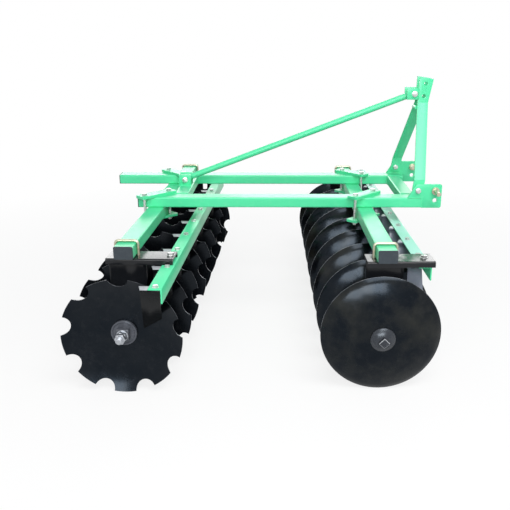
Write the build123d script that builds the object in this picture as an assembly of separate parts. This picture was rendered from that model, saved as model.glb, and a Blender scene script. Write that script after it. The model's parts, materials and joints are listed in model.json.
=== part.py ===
from build123d import *
from collections import namedtuple
from math import atan2, cos, degrees, hypot, radians, sin, sqrt
import os

# Offset disc harrow for a category 1 three-point linkage.
# Millimetres. +X is the direction of travel, +Y the machine's left, +Z up.
# The ground is Z = 0, and Y = 0 is midway along the two disc gangs.
# Each gang is drawn in a gang frame of its own, described above gang_place.

# --- Discs and gangs ---------------------------------------------------------
disc_dia = 510.0
disc_thick = 5.0
disc_dish = 52.0            # depth from the rim plane to the flat centre
disc_flat_r = 56.0          # flat centre that the spools grip
disc_bevel = 12.0           # width of the sharpened rim
disc_edge = 1.5             # thickness left at the cutting edge
disc_pitch = 230.0
# quarter turns at which the notched discs went onto the square axle, from the open end
disc_quarters = (0, 0, 1, 0, 1, 1, 1, 0, 2)
notch_count = 9
notch_r = 43.0
notch_depth = 38.0
gang_shift = 35.0           # each gang sits this far towards its domed side
axle_side = 30.0            # square axle bar
seat_gap = 0.2              # slip fit of discs and spools on the square axle

# --- Spools, bearings and end fittings ---------------------------------------
spool_end_r = 49.0
spool_waist_r = 27.0
spool_lip = 8.0             # straight rim at each end of a spool
spool_flare = 34.0          # length of the cone between rim and waist
journal_r = 35.0
journal_len = 66.0
running_gap = 0.05          # radial clearance in the bearings
housing_r = 60.0
housing_len = 56.0
washer_r = 55.0
washer_thick = 14.0
boss_side = 52.0
boss_len = 24.0
axle_nut_flats = 41.0
axle_nut_len = 24.0
lock_nut_len = 18.0
thread_r = 13.5
thread_len = 18.0           # thread that stands out past the nuts
thread_gap = 0.3
cap_r = 53.0
cap_rim = 6.0
cap_rise = 22.0
head_side = 33.0
head_len = 16.0

# --- Gang beams and what hangs from them -------------------------------------
gang_beam_w = 80.0
gang_beam_h = 55.0
gang_beam_top = 625.0
gang_beam_side = 13.0       # beam centre ahead of the axle
gang_beam_over_open = 66.0  # beam left past the open-side hanger's centre
gang_beam_over_domed = 76.0  # beam left past the domed-side hanger's centre
tube_wall = 5.0
tube_corner = 2.0           # corner radius inside a tube
cap_plate = 4.0
cap_plug = 25.0
cap_gap = 0.3
hanger_inset_open = 85.0    # first bearing from the open-side end disc
hanger_inset_domed = 115.0  # second bearing from the domed-side end disc
arm_front = 213.0           # reach of the arm ahead of the axle
arm_w = 112.0
arm_h = 25.0
arm_wall = 8.0
arm_round = 8.0             # bend outside each long top edge of the arm
web_thick = 16.0
web_half_w = 79.0           # the web is centred under the gang beam
web_straight = 95.0         # parallel height at the top of the web
web_relief = 4.0            # web kept clear of the U-bolt legs and nuts
u_rod_r = 6.5
u_bend_r = 14.0
u_hole_gap = 0.6
u_leg_out = 16.0            # leg left below its nut
u_nut_flats = 21.0
u_nut_h = 9.0
fit_gap = 0.3

# --- Scraper bars and scrapers -----------------------------------------------
bar_w = 53.0
bar_leg = 60.0
bar_thick = 6.0
bar_over_open = 3.0         # past the outermost scraper
bar_over_domed = 47.0       # past the bearing arm at the domed end
scraper_thick = 6.0
scraper_reach = 238.0       # scraper's folded edge from its disc's centre plane
scraper_tab = 42.0
tab_flare = 14.0            # tab's far rear corner behind the folded edge's end
scraper_fold_rear = 138.0   # rear end of the folded edge ahead of the axle
bar_clearance = 2.0         # folded edge to the inside of the bar's leg
scraper_tip_rear = 88.0     # side offsets of the working edge
scraper_tip_front = 180.0
scraper_tip_low = 285.0     # heights of the working edge's two corners
scraper_tip_high = 357.0
scraper_gap = 14.0          # tip to the disc's centre plane

# --- Main frame ----------------------------------------------------------------
front_gang_x = 463.0        # where each axle crosses Y = 0
rear_gang_x = -566.0
beam_w = 90.0
beam_h = 50.0
beam_pitch = 537.0
frame_offset = 88.5         # frame centre towards the machine's left
beam_ahead = 297.0          # main beams ahead of the front axle
beam_behind_right = 82.0    # right beam behind the rear axle
beam_behind_left = 291.0    # left beam behind the rear axle
cross_w = 70.0
cross_rear_ahead = 122.0    # rear cross tube ahead of the rear axle
cross_front_back = 56.0     # front cross tube behind the beams' front ends
clamp_w = 60.0
clamp_round = 6.0
clamp_top_thick = 14.0
clamp_low_thick = 12.0
clamp_bolt_r = 7.0
clamp_bolt_gap = 2.0        # bolt to the beam sides
clamp_end = 30.0            # plate left beyond each bolt
bolt_hole_gap = 0.5
clamp_nut_flats = 24.0
clamp_nut_h = 10.0
clamp_bolt_out = 9.0

# --- Hitch and mast ------------------------------------------------------------
hitch_thick = 12.0
hitch_rise = 69.0           # plate above the beam
hitch_reach = 97.0          # plate ahead of the beam's front end
hitch_lap = 51.0            # plate's foot behind the strut's bolt
hitch_slope = 43.0          # run of the sloping rear edge
hitch_corner_r = 10.0
pin_back = 32.0             # pin and lower hole behind the plate's front edge
pin_down = 33.0             # pin below the plate's top edge
pin_r = 11.0
pin_len = 80.0
pin_collar_r = 19.0
pin_collar = 10.0
pin_chamfer = 2.0
pin_nut_flats = 32.0
pin_nut_h = 16.0
pin_fit = 0.1
low_hole_r = 11.0
low_hole_down = 48.0        # lower hole below the pin
strut_foot_down = 32.0      # strut's bolt below the plate's top edge
strut_w = 54.0
strut_thick = 12.0
strut_bend_up = 20.0        # first bend above the plate's top edge
mast_lean = 31.0            # second bend ahead of the beam's front end
mast_top = 1240.0
mast_plate_h = 128.0        # from the second bend to the top
mast_plate_w = 70.0
mast_top_lean = 14.0        # top plate's top ahead of its foot
mast_top_slope = 10.0       # fall of the top edge from rear to front
mast_gap = 54.0             # between the two top plates
link_hole_r = 9.75
link_hole_low = 33.0        # top-link holes above the second bend
link_hole_high = 95.0
ear_thick = 12.0
ear_w = 65.0
ear_h = 58.0
ear_back = 40.0             # front ears behind their bolt
brace_bolt_r = 8.0
brace_front_back = 43.0     # front brace bolt behind the second bend
brace_front_up = 43.0       # front brace bolt above the second bend
brace_rear_back = 4.0       # rear brace bolt behind the cross tube's centre
brace_rear_up = 30.0        # rear brace bolt above the cross tube
brace_r = 16.0
brace_wall = 4.0
sleeve_r = 19.0
nut_h = 13.0
nut_flats = 24.0
bolt_head_h = 10.0
thread_out = 5.0            # thread left past a nut
cut_over = 1.0              # how far each hole is drilled past the surface

# --- Worked out from the above -------------------------------------------------
disc_count = len(disc_quarters)
disc_r = disc_dia / 2
axle_z = disc_r
beam_bottom = gang_beam_top
beam_top = beam_bottom + beam_h
beam_mid = beam_bottom + beam_h / 2
gang_beam_low = gang_beam_top - gang_beam_h
arm_low = gang_beam_low - arm_h
web_rear = gang_beam_side - web_half_w
web_front = gang_beam_side + web_half_w
hub_first = gang_shift - disc_pitch * (disc_count - 1) / 2
hub_last = gang_shift + disc_pitch * (disc_count - 1) / 2
hanger_open_y = hub_first + hanger_inset_open
hanger_domed_y = hub_last - hanger_inset_domed
gang_beam_open_y = hanger_open_y - gang_beam_over_open
gang_beam_domed_y = hanger_domed_y + gang_beam_over_domed
right_y = frame_offset - beam_pitch / 2
left_y = frame_offset + beam_pitch / 2
beam_front = front_gang_x + beam_ahead
cross_front_x = beam_front - cross_front_back
cross_rear_x = rear_gang_x + cross_rear_ahead
hitch_top = beam_top + hitch_rise
hitch_front = beam_front + hitch_reach
pin_x = hitch_front - pin_back
pin_z = hitch_top - pin_down
strut_bolt_z = hitch_top - strut_foot_down
strut_bend_z = hitch_top + strut_bend_up
mast_bend_x = beam_front + mast_lean
mast_bend_z = mast_top - mast_plate_h
brace_front_x = mast_bend_x - brace_front_back
brace_front_z = mast_bend_z + brace_front_up
brace_rear_x = cross_rear_x - brace_rear_back
brace_rear_z = beam_top + brace_rear_up

# One row per gang: where its axle crosses Y = 0, how far the gang is turned
# (degrees, left end towards the rear is positive), whether the discs' open
# side faces the machine's left, whether the discs are notched, how far the
# axle has rolled from resting on a flat (degrees), and how far the front edge
# of the scraper bar lies ahead of the axle.
Gang = namedtuple("Gang", "name x turn open_left notched roll bar_front")
gangs = [
    Gang("front", front_gang_x, 1.0, True, False, 45.0, 201.0),
    Gang("rear", rear_gang_x, -2.2, False, True, 0.0, 221.0),
]

# One row per main beam: side name, centre line, rear end, outward direction,
# and how far the strut's bolt lies behind the beam's front end.
Rail = namedtuple("Rail", "name y rear out foot_back")
rails = [
    Rail("right", right_y, rear_gang_x - beam_behind_right, -1, 20.0),
    Rail("left", left_y, rear_gang_x - beam_behind_left, 1, 34.0),
]

# Bearing hangers along a gang, in the gang frame.
Hanger = namedtuple("Hanger", "end y")
hangers = [
    Hanger("open", hanger_open_y),
    Hanger("domed", hanger_domed_y),
]


def hub_y(index):
    """Centre plane of one disc along its gang."""
    return hub_first + index * disc_pitch


# A gang frame has X across the axle (ahead), Y along the axle and Z up. The
# discs' open side faces -Y. gang_place mirrors it where the gang opens to
# the left, turns it by the gang's angle and moves it under the frame.
def gang_place(gang, shape):
    if gang.open_left:
        shape = mirror(shape, about=Plane.XZ)
    return Pos(gang.x, 0, 0) * Rot(0, 0, gang.turn) * shape


def gang_point(gang, side, along):
    """Plan position of a point given across and along a gang."""
    if gang.open_left:
        along = -along
    turn = radians(gang.turn)
    return (gang.x + side * cos(turn) - along * sin(turn),
            side * sin(turn) + along * cos(turn))


def block(x0, x1, y0, y1, z0, z1):
    """Box between two corners."""
    return Pos((x0 + x1) / 2, (y0 + y1) / 2, (z0 + z1) / 2) * Box(x1 - x0, y1 - y0, z1 - z0)


def rod_y(radius, y0, y1, x=0.0, z=0.0):
    """Round bar along Y."""
    return Pos(x, (y0 + y1) / 2, z) * Rot(90, 0, 0) * Cylinder(radius, y1 - y0)


def rod_z(radius, z0, z1, x=0.0, y=0.0):
    """Round bar along Z."""
    return Pos(x, y, (z0 + z1) / 2) * Cylinder(radius, z1 - z0)


def hex_y(flats, y0, y1, x=0.0, z=0.0):
    """Hexagon bar along Y, given across its flats."""
    face = Plane.XZ * RegularPolygon(flats / 2, 6, major_radius=False)
    return Pos(x, y1, z) * extrude(face, y1 - y0)


def hex_z(flats, z0, z1, x=0.0, y=0.0):
    """Hexagon bar along Z, given across its flats."""
    return Pos(x, y, z0) * extrude(RegularPolygon(flats / 2, 6, major_radius=False), z1 - z0)


def plate_xz(points, y0, y1):
    """Plate between two Y planes from an outline in X and Z."""
    face = make_face(Polyline(*[(x, 0, z) for x, z in points], close=True))
    return extrude(Pos(0, y0, 0) * face, y1 - y0, dir=(0, 1, 0))


def turned(points):
    """Solid of revolution about Y from (radius, y) points."""
    face = make_face(Polyline(*[(r, y, 0) for r, y in points], close=True))
    return revolve(face, Axis.Y)


def square_bar(side, y0, y1):
    """Square bar along Y."""
    return block(-side / 2, side / 2, y0, y1, -side / 2, side / 2)


def tube_outside(width, height):
    """Outside section of a rectangular tube."""
    return RectangleRounded(width, height, tube_wall + tube_corner)


def tube_inside(width, height, inset):
    """Section inside a rectangular tube, inset from its outside."""
    return RectangleRounded(width - 2 * inset, height - 2 * inset, tube_corner)


def tube_y(width, height, y0, y1):
    """Rectangular tube along Y, centred on X = 0 and Z = 0."""
    section = tube_outside(width, height) - tube_inside(width, height, tube_wall)
    return Pos(0, y0, 0) * extrude(Plane.XZ * section, y1 - y0, dir=(0, 1, 0))


def end_cap(width, height):
    """Cap with its face at Y = 0 and its plug towards +Y."""
    face = extrude(Plane.XZ * tube_outside(width, height), cap_plate, dir=(0, 1, 0))
    plug = Plane.XZ * tube_inside(width, height, tube_wall + cap_gap)
    return face + Pos(0, cap_plate, 0) * extrude(plug, cap_plug, dir=(0, 1, 0))


def bolt_y(radius, flats, y0, y1, x, z):
    """Bolt along Y: head outside y0, nut outside y1."""
    head = hex_y(flats, y0 - bolt_head_h, y0, x, z)
    nut = hex_y(flats, y1, y1 + nut_h, x, z)
    return rod_y(radius, y0, y1 + nut_h + thread_out, x, z) + head + nut


# --- Rotating parts ------------------------------------------------------------
def make_disc(notched):
    """Dished disc at Y = 0 of its hub plane, open side towards -Y."""
    run = disc_r - disc_flat_r
    bowl = (run ** 2 + disc_dish ** 2) / (2 * disc_dish)
    outer = bowl + disc_thick
    bevel_run = run - disc_bevel

    def dish(radius, across):
        return sqrt(radius ** 2 - across ** 2) - bowl

    inner_mid = (disc_flat_r + run / 2, dish(bowl, run / 2))
    outer_mid = (disc_flat_r + bevel_run / 2, dish(outer, bevel_run / 2))
    bevel_end = (disc_r - disc_bevel, dish(outer, bevel_run))
    edges = [
        Line((0, 0), (disc_flat_r, 0)),
        ThreePointArc((disc_flat_r, 0), inner_mid, (disc_r, -disc_dish)),
        Line((disc_r, -disc_dish), (disc_r, -disc_dish + disc_edge)),
        Line((disc_r, -disc_dish + disc_edge), bevel_end),
        ThreePointArc(bevel_end, outer_mid, (disc_flat_r, disc_thick)),
        Line((disc_flat_r, disc_thick), (0, disc_thick)),
        Line((0, disc_thick), (0, 0)),
    ]
    disc = revolve(make_face(edges), Axis.Y)
    disc -= square_bar(axle_side + 2 * seat_gap, -disc_thick, 2 * disc_thick)
    if notched:
        centre_r = disc_r - notch_depth + notch_r
        for step in range(notch_count):
            angle = radians(90 + step * 360 / notch_count)
            x = centre_r * cos(angle)
            z = centre_r * sin(angle)
            disc -= rod_y(notch_r, -disc_dish - cut_over, disc_thick + cut_over, x, z)
    return disc


def make_spool(index):
    """Cast spool between two discs, with a journal where a bearing runs."""
    y0 = hub_y(index) + disc_thick
    y1 = hub_y(index + 1)
    inner0 = y0 + spool_lip + spool_flare
    inner1 = y1 - spool_lip - spool_flare
    points = [(0, y0), (spool_end_r, y0), (spool_end_r, y0 + spool_lip)]
    journal = [h.y for h in hangers if y0 < h.y < y1]
    if journal:
        j0 = journal[0] - journal_len / 2
        j1 = journal[0] + journal_len / 2
        points += [(journal_r, min(inner0, j0)), (journal_r, j1)]
        if inner1 > j1 + spool_flare:
            points += [(spool_waist_r, j1 + spool_lip)]
            points += [(spool_waist_r, inner1)]
    else:
        points += [(spool_waist_r, inner0), (spool_waist_r, inner1)]
    points += [(spool_end_r, y1 - spool_lip), (spool_end_r, y1), (0, y1)]
    hole = square_bar(axle_side + 2 * seat_gap, y0 - cut_over, y1 + cut_over)
    return turned(points) - hole


def make_axle():
    """Square axle with a threaded end and a square head past the dome."""
    square0 = hub_first - washer_thick - boss_len
    thread0 = square0 - axle_nut_len - lock_nut_len - thread_len
    head0 = hub_last + disc_thick + cap_rim + cap_rise
    axle = square_bar(axle_side, square0, head0)
    axle += rod_y(thread_r, thread0, square0)
    axle += square_bar(head_side, head0, head0 + head_len)
    return axle


def make_open_end():
    """Washer with a square boss, clamped by the axle nut."""
    inner = hub_first - washer_thick
    outer = inner - boss_len
    washer = rod_y(washer_r, inner, hub_first) + square_bar(boss_side, outer, inner)
    return washer - square_bar(axle_side + 2 * seat_gap, outer - cut_over, hub_first + cut_over)


def make_axle_nuts():
    """Axle nut against the washer's boss, and the lock nut outside it."""
    y2 = hub_first - washer_thick - boss_len
    y1 = y2 - axle_nut_len
    y0 = y1 - lock_nut_len
    bore = rod_y(thread_r + thread_gap, y0 - cut_over, y2 + cut_over)
    return [hex_y(axle_nut_flats, low, high) - bore for low, high in ((y0, y1), (y1, y2))]


def make_domed_end():
    """Domed end washer outside the last disc."""
    face = hub_last + disc_thick
    top = face + cap_rim + cap_rise
    dome_r = (cap_r ** 2 + cap_rise ** 2) / (2 * cap_rise)
    mid_y = top - dome_r + sqrt(dome_r ** 2 - (cap_r / 2) ** 2)
    edges = [
        Line((0, face), (cap_r, face)),
        Line((cap_r, face), (cap_r, face + cap_rim)),
        ThreePointArc((cap_r, face + cap_rim), (cap_r / 2, mid_y), (0, top)),
        Line((0, top), (0, face)),
    ]
    cap = revolve(make_face(edges), Axis.Y)
    return cap - square_bar(axle_side + 2 * seat_gap, face - cut_over, top + cut_over)


def make_gang(gang):
    """All pieces of one gang that turn, keyed by node name."""
    lift = Pos(0, 0, axle_z) * Rot(0, gang.roll, 0)
    disc = make_disc(gang.notched)
    discs = [
        Pos(0, hub_y(i), 0) * Rot(0, quarters * 90, 0) * disc
        for i, quarters in enumerate(disc_quarters)
    ]
    spools = [make_spool(i) for i in range(disc_count - 1)]
    pieces = {
        "axle": [make_axle()],
        "discs": discs,
        "spools": spools,
        "end_washer": [make_open_end()],
        "axle_nuts": make_axle_nuts(),
        "end_dome": [make_domed_end()],
    }
    return {
        f"{gang.name}_{name}": [gang_place(gang, lift * solid) for solid in solids]
        for name, solids in pieces.items()
    }


# --- Fixed parts of a gang -----------------------------------------------------
def make_gang_beam():
    beam = tube_y(gang_beam_w, gang_beam_h,
                  gang_beam_open_y + cap_plate, gang_beam_domed_y - cap_plate)
    return Pos(gang_beam_side, 0, gang_beam_top - gang_beam_h / 2) * beam


def make_gang_caps():
    cap = end_cap(gang_beam_w, gang_beam_h)
    z = gang_beam_top - gang_beam_h / 2
    return [
        Pos(gang_beam_side, gang_beam_open_y, z) * cap,
        Pos(gang_beam_side, gang_beam_domed_y, z) * Rot(0, 0, 180) * cap,
    ]


def make_u_bolt(y):
    """U-bolt over the gang beam with both nuts under the arm's top wall."""
    half = gang_beam_w / 2 + fit_gap + u_rod_r
    top = gang_beam_top + fit_gap + u_rod_r
    bottom = gang_beam_low - arm_wall - u_nut_h - u_leg_out
    x0 = gang_beam_side - half
    x1 = gang_beam_side + half
    path = [
        Line((x0, y, bottom), (x0, y, top - u_bend_r)),
        ThreePointArc(
            (x0, y, top - u_bend_r),
            (x0 + u_bend_r * (1 - sqrt(0.5)), y, top - u_bend_r * (1 - sqrt(0.5))),
            (x0 + u_bend_r, y, top)),
        Line((x0 + u_bend_r, y, top), (x1 - u_bend_r, y, top)),
        ThreePointArc(
            (x1 - u_bend_r, y, top),
            (x1 - u_bend_r * (1 - sqrt(0.5)), y, top - u_bend_r * (1 - sqrt(0.5))),
            (x1, y, top - u_bend_r)),
        Line((x1, y, top - u_bend_r), (x1, y, bottom)),
    ]
    section = Plane(origin=(x0, y, bottom), z_dir=(0, 0, 1)) * Circle(u_rod_r)
    bolt = sweep(section, path=Wire(path))
    for x in (x0, x1):
        nut_top = gang_beam_low - arm_wall
        bolt += hex_z(u_nut_flats, nut_top - u_nut_h, nut_top, x, y)
    return bolt


def make_hanger(y):
    """Channel arm, tapered web and bearing housing, welded together."""
    web_top = gang_beam_low - arm_wall
    inner = arm_w / 2 - arm_wall
    arm = block(web_rear, arm_front, y - arm_w / 2, y + arm_w / 2, arm_low, gang_beam_low)
    arm = fillet(arm.edges().filter_by(Axis.X).group_by(Axis.Z)[-1], arm_round)
    arm -= block(web_rear - cut_over, arm_front + cut_over, y - inner, y + inner,
                 arm_low - cut_over, web_top)
    outline = [
        (web_rear, web_top), (web_front, web_top),
        (web_front, web_top - web_straight), (housing_r, axle_z),
        (-housing_r, axle_z), (web_rear, web_top - web_straight),
    ]
    web = plate_xz(outline, y - web_thick / 2, y + web_thick / 2)
    clear = u_nut_flats / 2 + web_relief
    leg_end = web_top - u_nut_h - u_leg_out - web_relief
    for side in (-1, 1):
        x = gang_beam_side + side * (gang_beam_w / 2 + fit_gap + u_rod_r)
        arm -= rod_z(u_rod_r + u_hole_gap, arm_low, gang_beam_low + cut_over, x, y)
        web -= block(x - clear, x + clear, y - web_thick, y + web_thick, leg_end, web_top)
    housing = rod_y(housing_r, y - housing_len / 2, y + housing_len / 2, 0, axle_z)
    bore = rod_y(journal_r + running_gap, y - housing_len, y + housing_len, 0, axle_z)
    return arm + web + housing - bore


def make_scraper_bar(bar_front):
    """Angle bar under the arms, its leg on the front edge."""
    y0 = hub_first - scraper_reach - bar_over_open
    y1 = hanger_domed_y + bar_over_domed
    leg_rear = bar_front - bar_thick
    flange = block(bar_front - bar_w, bar_front, y0, y1, arm_low - bar_thick, arm_low)
    return flange + block(leg_rear, bar_front, y0, y1, arm_low - bar_leg, arm_low - bar_thick)


def make_scraper(index, bar_front):
    """Folded scraper: a tab under the bar and a blade down to the disc."""
    hub = hub_y(index)
    fold_front = bar_front - bar_thick - bar_clearance
    top_z = arm_low - bar_thick
    fold_y = hub - scraper_reach
    drop = top_z - scraper_tip_low
    run = scraper_reach - scraper_gap
    slope = atan2(drop, run)
    long_edge = hypot(drop, run)
    short_edge = (top_z - scraper_tip_high) / sin(slope)
    blade = make_face(Polyline(
        (scraper_fold_rear, 0), (fold_front, 0),
        (scraper_tip_front, short_edge), (scraper_tip_rear, long_edge), close=True))
    blade = extrude(blade, scraper_thick)
    # the blade's own Y runs down the slope, and its thickness lies below the tab
    blade = Pos(0, fold_y, top_z) * Rot(-degrees(slope), 0, 0) * mirror(blade, about=Plane.XY)
    tab = make_face(Polyline(
        (scraper_fold_rear, fold_y), (fold_front, fold_y), (fold_front, fold_y + scraper_tab),
        (scraper_fold_rear - tab_flare, fold_y + scraper_tab), close=True))
    tab = Pos(0, 0, top_z - scraper_thick) * extrude(tab, scraper_thick)
    under_bar = block(0, arm_front, fold_y - scraper_tab, hub, 0, top_z)
    return (blade & under_bar) + tab


def make_gang_frame(gang):
    """The pieces of one gang that don't turn, keyed by node name."""
    pieces = {
        "gang_beam": [make_gang_beam()],
        "gang_beam_caps": make_gang_caps(),
        "u_bolts": [make_u_bolt(h.y) for h in hangers],
        "scraper_bar": [make_scraper_bar(gang.bar_front)],
        "scrapers": [make_scraper(i, gang.bar_front) for i in range(disc_count)],
    }
    for hanger in hangers:
        pieces[f"hanger_{hanger.end}"] = [make_hanger(hanger.y)]
    return {
        f"{gang.name}_{name}": [gang_place(gang, solid) for solid in solids]
        for name, solids in pieces.items()
    }


# --- Main frame ------------------------------------------------------------------
def make_rail(rail):
    length = beam_front - rail.rear - cap_plate
    beam = tube_y(beam_w, beam_h, 0, length)
    return Pos(beam_front, rail.y, beam_mid) * Rot(0, 0, 90) * beam


def make_rail_cap(rail):
    return Pos(rail.rear, rail.y, beam_mid) * Rot(0, 0, -90) * end_cap(beam_w, beam_h)


def make_cross(x):
    y0 = right_y + beam_w / 2
    y1 = left_y - beam_w / 2
    return Pos(x, 0, beam_mid) * tube_y(cross_w, beam_h, y0, y1)


def rail_crossing(gang, rail):
    """Where a gang beam's centre line passes a main beam's centre line."""
    turn = radians(gang.turn)
    start_x = gang.x + gang_beam_side * cos(turn)
    start_y = gang_beam_side * sin(turn)
    along = (rail.y - start_y) / cos(turn)
    return start_x - along * sin(turn)


def clamp_corner(gang, rail):
    """Half distance from a crossing to its bolts, across X and Y."""
    slack = clamp_bolt_r + clamp_bolt_gap
    skew = abs(sin(radians(gang.turn))) * (beam_w / 2 + 2 * slack)
    half_x = gang_beam_w / 2 / cos(radians(gang.turn)) + slack + skew
    half_y = beam_w / 2 + slack
    # the bolts sit outboard and behind, then inboard and ahead
    return half_x, -rail.out * half_y


def make_clamp(gang, rail):
    """Upper and lower clamp plates across one crossing."""
    x = rail_crossing(gang, rail)
    dx, dy = clamp_corner(gang, rail)
    length = 2 * (hypot(dx, dy) + clamp_end)
    turn = degrees(atan2(dy, dx))
    plates = []
    for low, thick in ((beam_top, clamp_top_thick),
                       (gang_beam_low - clamp_low_thick, clamp_low_thick)):
        plate = extrude(RectangleRounded(length, clamp_w, clamp_round), thick)
        plate = Pos(x, rail.y, low) * Rot(0, 0, turn) * plate
        for side in (-1, 1):
            plate -= rod_z(clamp_bolt_r + bolt_hole_gap, low - cut_over, low + thick + cut_over,
                           x + side * dx, rail.y + side * dy)
        plates.append(plate)
    return plates


def make_clamp_bolts(gang, rail):
    x = rail_crossing(gang, rail)
    dx, dy = clamp_corner(gang, rail)
    top = beam_top + clamp_top_thick
    low = gang_beam_low - clamp_low_thick
    bolts = []
    for side in (-1, 1):
        bx = x + side * dx
        by = rail.y + side * dy
        bolt = rod_z(clamp_bolt_r, low - clamp_nut_h - clamp_bolt_out, top, bx, by)
        bolt += hex_z(clamp_nut_flats, top, top + clamp_nut_h, bx, by)
        bolt += hex_z(clamp_nut_flats, low - clamp_nut_h, low, bx, by)
        bolts.append(bolt)
    return bolts


# --- Hitch, mast and brace ---------------------------------------------------------
def make_hitch_plate(rail):
    """Plate that stands on the beam's outer edge and wraps its front end."""
    strut_bolt_x = beam_front - rail.foot_back
    outer = rail.y + rail.out * beam_w / 2
    inner = outer - rail.out * hitch_thick
    foot_x = strut_bolt_x - hitch_lap
    points = [
        (foot_x, beam_top), (foot_x + hitch_slope, hitch_top),
        (hitch_front, hitch_top), (hitch_front, beam_bottom),
        (beam_front, beam_bottom), (beam_front, beam_top),
    ]
    y0 = min(outer, inner)
    y1 = max(outer, inner)
    plate = plate_xz(points, y0, y1)
    corners = [e for e in plate.edges().filter_by(Axis.Y) if e.center().X > pin_x]
    plate = fillet(corners, hitch_corner_r)
    for radius, x, z in (
        (clamp_bolt_r + bolt_hole_gap, strut_bolt_x, strut_bolt_z),
        (pin_r + pin_fit, pin_x, pin_z),
        (low_hole_r, pin_x, pin_z - low_hole_down),
    ):
        plate -= rod_y(radius, y0 - cut_over, y1 + cut_over, x, z)
    return plate


def make_hitch_pin(rail):
    """Lower-link pin: collar outside the plate, nut inside."""
    outer = rail.out * (rail.y + rail.out * beam_w / 2)
    inner = outer - hitch_thick
    pin = rod_y(pin_r, inner - pin_nut_h - thread_out, outer + pin_len, pin_x, pin_z)
    pin += rod_y(pin_collar_r, outer, outer + pin_collar, pin_x, pin_z)
    pin += hex_y(pin_nut_flats, inner - pin_nut_h, inner, pin_x, pin_z)
    pin = chamfer(pin.edges().sort_by(Axis.Y)[-1], pin_chamfer)
    if rail.out < 0:
        pin = mirror(pin, about=Plane.XZ)
    return pin


def make_strut(rail):
    """Flat bar bolted inside the hitch plate, bent in to the mast top."""
    strut_bolt_x = beam_front - rail.foot_back
    foot = rail.out * (rail.y + rail.out * beam_w / 2) - hitch_thick
    head = rail.out * frame_offset + mast_gap / 2 + strut_thick
    y0 = head - strut_thick - cut_over
    y1 = foot + cut_over
    half = strut_w / 2
    half_top = mast_plate_w / 2
    top_x = mast_bend_x + mast_top_lean
    ribbon = make_face(Polyline(
        (0, foot, beam_top), (0, foot, strut_bend_z), (0, head, mast_bend_z),
        (0, head, mast_top), (0, head - strut_thick, mast_top),
        (0, head - strut_thick, mast_bend_z), (0, foot - strut_thick, strut_bend_z),
        (0, foot - strut_thick, beam_top), close=True))
    x0 = strut_bolt_x - strut_w
    bent = extrude(Pos(x0, 0, 0) * ribbon, top_x + mast_plate_w - x0, dir=(1, 0, 0))
    outline = plate_xz([
        (strut_bolt_x - half, strut_bolt_z), (strut_bolt_x + half, strut_bolt_z),
        (mast_bend_x + half, mast_bend_z), (mast_bend_x - half, mast_bend_z),
    ], y0, y1)
    outline += rod_y(half, y0, y1, strut_bolt_x, strut_bolt_z)
    outline += plate_xz([
        (mast_bend_x - half, mast_bend_z), (mast_bend_x + half, mast_bend_z),
        (top_x + half_top, mast_top - mast_top_slope), (top_x - half_top, mast_top),
    ], y0, y1)
    strut = bent & outline
    strut -= rod_y(clamp_bolt_r + bolt_hole_gap, y0, y1, strut_bolt_x, strut_bolt_z)
    for up in (link_hole_low, link_hole_high):
        x = mast_bend_x + mast_top_lean * up / mast_plate_h
        strut -= rod_y(link_hole_r, y0, y1, x, mast_bend_z + up)
    if rail.out < 0:
        strut = mirror(strut, about=Plane.XZ)
    return strut


def make_strut_bolt(rail):
    strut_bolt_x = beam_front - rail.foot_back
    outer = rail.out * (rail.y + rail.out * beam_w / 2)
    inner = outer - hitch_thick - strut_thick
    bolt = bolt_y(clamp_bolt_r, nut_flats, -outer, -inner, strut_bolt_x, strut_bolt_z)
    if rail.out > 0:
        bolt = mirror(bolt, about=Plane.XZ)
    return bolt


def ear_pair(outline, bolt_x, bolt_z):
    """Two ears either side of the brace's sleeve, from an outline in X and Z."""
    ears = []
    for side in (-1, 1):
        inner = frame_offset + side * mast_gap / 2
        outer = inner + side * ear_thick
        y0 = min(inner, outer)
        y1 = max(inner, outer)
        hole = rod_y(brace_bolt_r + bolt_hole_gap, y0 - cut_over, y1 + cut_over, bolt_x, bolt_z)
        ears.append(plate_xz(outline, y0, y1) - hole)
    return ears


def make_rear_bracket():
    """Ears that stand on the rear cross tube."""
    x0 = brace_rear_x - ear_w / 2
    x1 = brace_rear_x + ear_w / 2
    top = beam_top + ear_h
    outline = [(x0, beam_top), (x1, beam_top), (x1, top), (x0, top)]
    return ear_pair(outline, brace_rear_x, brace_rear_z)


def mast_rear_edge(z):
    """X of the top plates' rear edge at a height."""
    low = mast_bend_x - strut_w / 2
    high = mast_bend_x + mast_top_lean - mast_plate_w / 2
    return low + (high - low) * (z - mast_bend_z) / mast_plate_h


def make_front_bracket():
    """Ears welded to the rear edges of the mast's top plates."""
    z0 = brace_front_z - ear_h / 2
    z1 = brace_front_z + ear_h / 2
    x0 = brace_front_x - ear_back
    outline = [(x0, z0), (mast_rear_edge(z0), z0), (mast_rear_edge(z1), z1), (x0, z1)]
    return ear_pair(outline, brace_front_x, brace_front_z)


def make_brace():
    """Round tube with a cross sleeve at each end."""
    run = brace_front_x - brace_rear_x
    climb = brace_front_z - brace_rear_z
    middle = Pos(brace_rear_x + run / 2, frame_offset, brace_rear_z + climb / 2)
    along = middle * Rot(0, 90 - degrees(atan2(climb, run)), 0)
    brace = along * Cylinder(brace_r, hypot(run, climb))
    brace -= along * Cylinder(brace_r - brace_wall, hypot(run, climb))
    y0 = frame_offset - mast_gap / 2 + fit_gap
    y1 = frame_offset + mast_gap / 2 - fit_gap
    ends = ((brace_rear_x, brace_rear_z), (brace_front_x, brace_front_z))
    for x, z in ends:
        brace += rod_y(sleeve_r, y0, y1, x, z)
    for x, z in ends:
        brace -= rod_y(brace_bolt_r + bolt_hole_gap, y0 - cut_over, y1 + cut_over, x, z)
    return brace


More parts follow.
